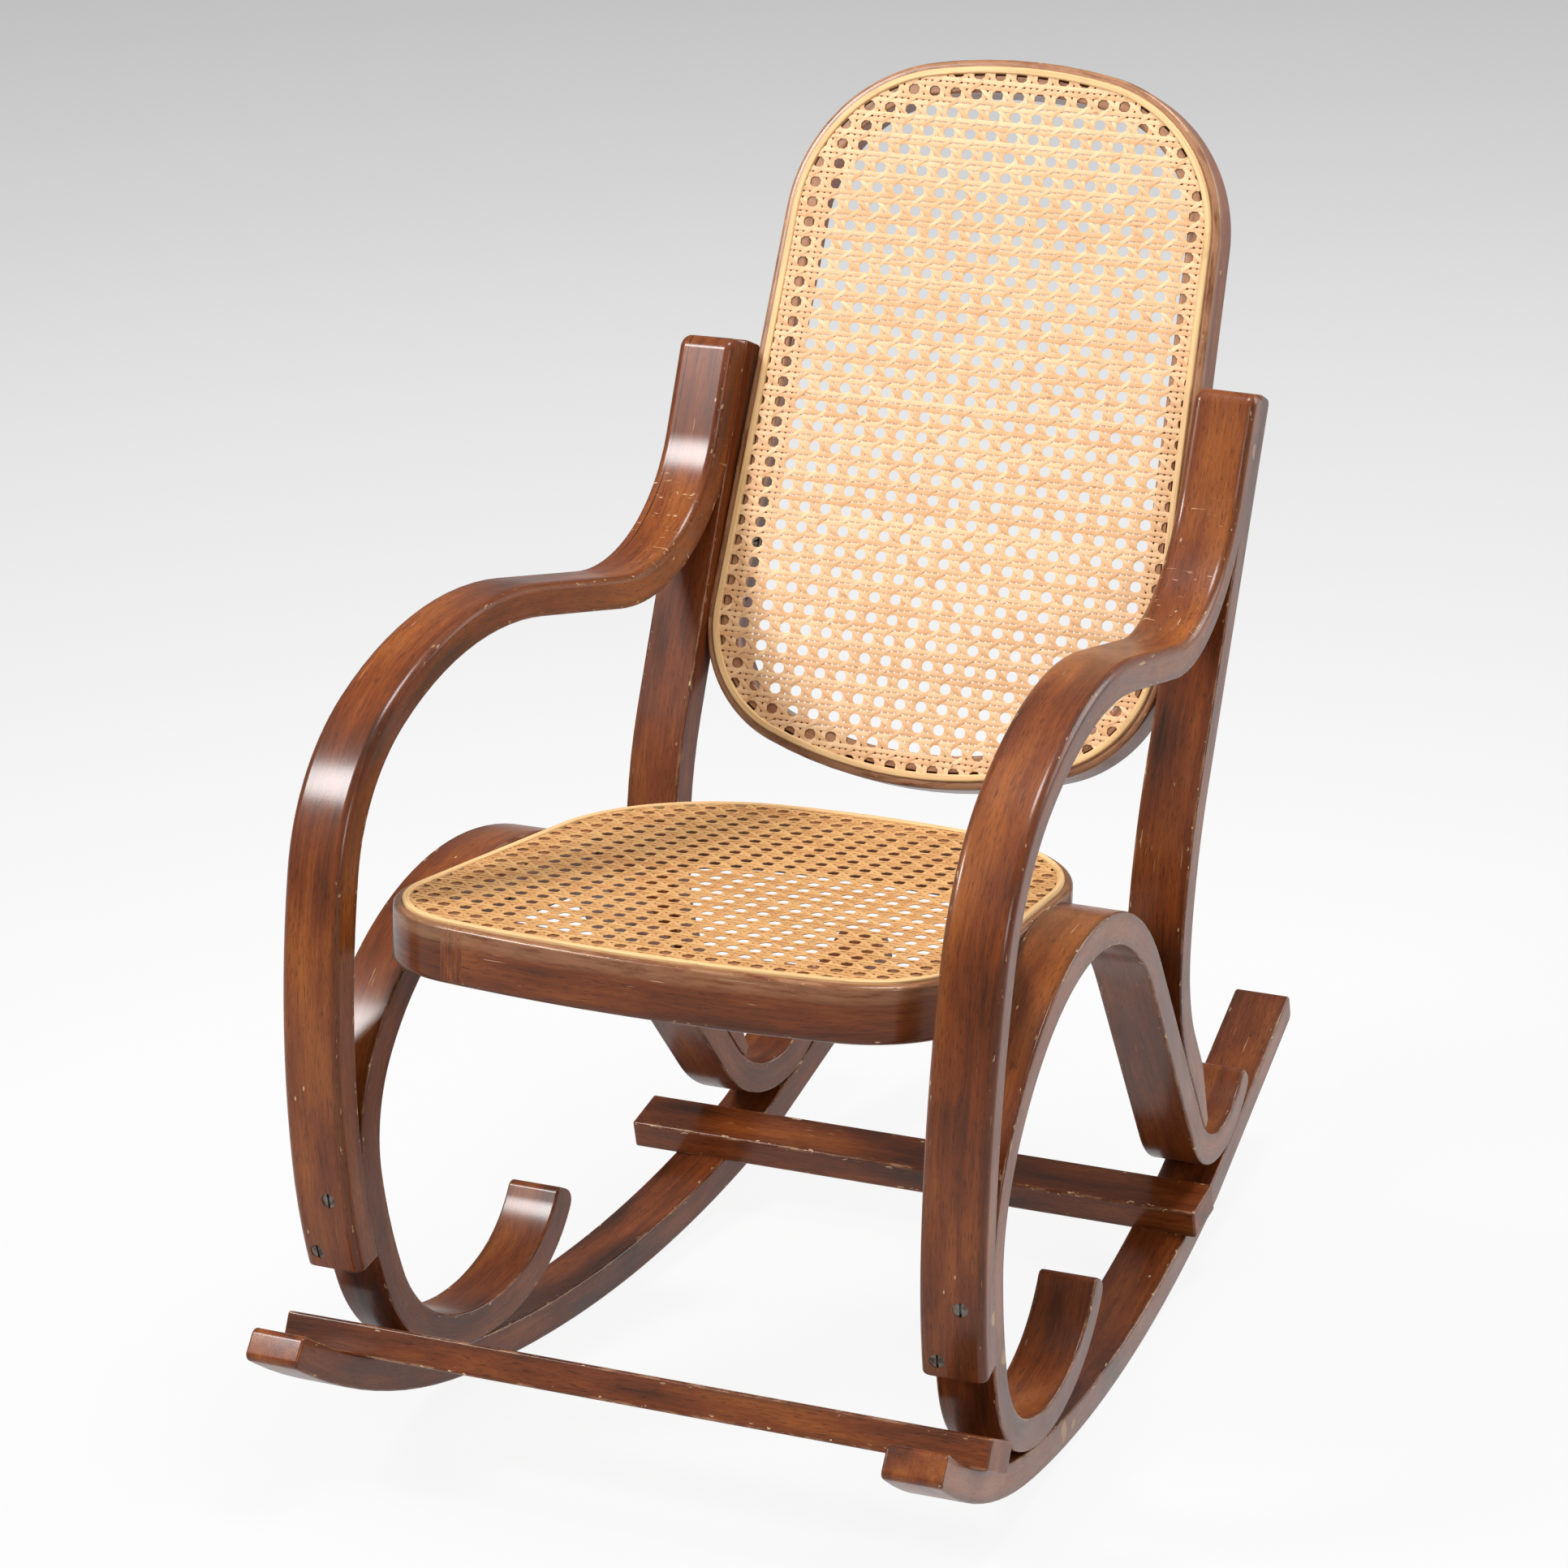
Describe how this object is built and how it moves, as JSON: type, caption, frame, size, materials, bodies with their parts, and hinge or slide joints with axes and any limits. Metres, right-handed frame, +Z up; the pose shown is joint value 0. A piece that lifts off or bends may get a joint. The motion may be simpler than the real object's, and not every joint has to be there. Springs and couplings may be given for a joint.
{
  "type": "rocking chair",
  "caption": "Child-size rocking chair of bent wood strips with scrolled side frames, curved rockers and woven cane seat and back.",
  "frame": {"origin": "centre of the chair's footprint, on the floor, with the chair standing still on its rockers", "axes": "+Z up, -Y towards the front of the chair, +X towards the right as seen by someone in front of it"},
  "size_m": [0.4032, 0.6452, 0.6521],
  "materials": {
    "stained_wood": "reddish brown stain under glossy, worn varnish",
    "cane": "woven natural cane, satin",
    "spline": "plain pale reed spline, satin",
    "screw": "dull, darkened steel"
  },
  "bodies": {
    "root": {"back_cane": "cane", "back_hoop": "stained_wood", "back_spline": "spline", "crossbar_screws": "screw", "front_crossbar": "stained_wood", "left_arm": "stained_wood", "left_arm_foot_screws": "screw", "left_arm_top_screws": "screw", "left_back_screws": "screw", "left_post": "stained_wood", "left_post_foot_screws": "screw", "left_rocker": "stained_wood", "left_rocker_screws": "screw", "left_scroll": "stained_wood", "left_seat_screws": "screw", "rear_crossbar": "stained_wood", "right_arm": "stained_wood", "right_arm_foot_screws": "screw", "right_arm_top_screws": "screw", "right_back_screws": "screw", "right_post": "stained_wood", "right_post_foot_screws": "screw", "right_rocker": "stained_wood", "right_rocker_screws": "screw", "right_scroll": "stained_wood", "right_seat_screws": "screw", "seat_cane": "cane", "seat_hoop": "stained_wood", "seat_spline": "spline"}
  },
  "joints": []
}
